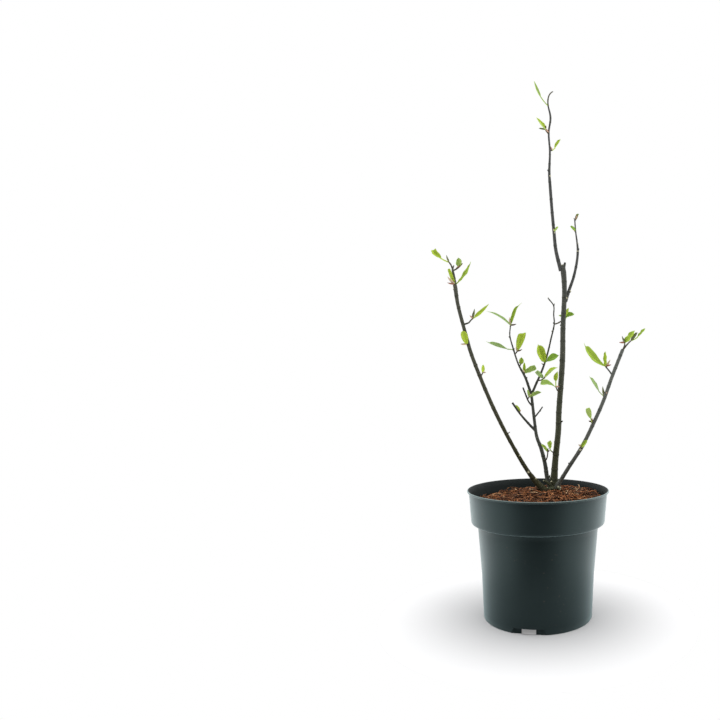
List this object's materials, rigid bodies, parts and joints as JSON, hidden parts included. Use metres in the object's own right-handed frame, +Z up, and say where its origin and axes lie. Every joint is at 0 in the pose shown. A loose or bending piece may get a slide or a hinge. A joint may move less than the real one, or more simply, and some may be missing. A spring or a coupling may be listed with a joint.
{
  "type": "potted magnolia",
  "caption": "Young upright magnolia shrub with slender stems in first spring leaf, in a round dark nursery pot of bark mulch.",
  "frame": {"origin": "middle of the flat underside of the pot, on the ground", "axes": "+Z up, -Y is the front as pictured, +X to the right of it"},
  "size_m": [0.3276, 0.23, 0.8762],
  "materials": {
    "pot_plastic": "satin moulded",
    "bark_mulch": "loose, fibrous",
    "bark": "smooth bark with pale lenticels",
    "leaf": "soft satin, fresh spring growth"
  },
  "bodies": {
    "root": {"pot": "pot_plastic", "soil": "bark_mulch", "leader": "bark", "left_stem": "bark", "left_twig": "bark", "thin_stem": "bark", "thin_left": "bark", "thin_right": "bark", "twig_left_low": "bark", "twig_right_low": "bark", "twig_left_mid": "bark", "leader_top": "bark", "side_branch": "bark", "right_stem": "bark", "right_twig": "bark", "spray_leader_tip": "leaf", "spray_leader_upper": "leaf", "spray_leader_side": "leaf", "spray_leader_knot": "leaf", "spray_leader_middle": "leaf", "spray_leader_low": "leaf", "spray_side_tip": "leaf", "spray_side_upper": "leaf", "spray_behind": "leaf", "spray_left_tip": "leaf", "spray_left_spur": "leaf", "spray_left_fork": "leaf", "spray_left_high": "leaf", "spray_left_twig": "leaf", "spray_left_front": "leaf", "spray_left_inner": "leaf", "spray_thin_left_tip": "leaf", "spray_thin_left_high": "leaf", "spray_thin_left_inner": "leaf", "spray_thin_left_low": "leaf", "spray_thin_left_fork": "leaf", "spray_thin_right_low": "leaf", "spray_thin_right_high": "leaf", "spray_twig_mid": "leaf", "spray_twig_low": "leaf", "spray_thin_foot": "leaf", "spray_right_tip": "leaf", "spray_right_end": "leaf", "spray_right_twig": "leaf", "spray_right_middle": "leaf", "spray_right_lower": "leaf", "spray_right_low": "leaf"}
  },
  "joints": []
}
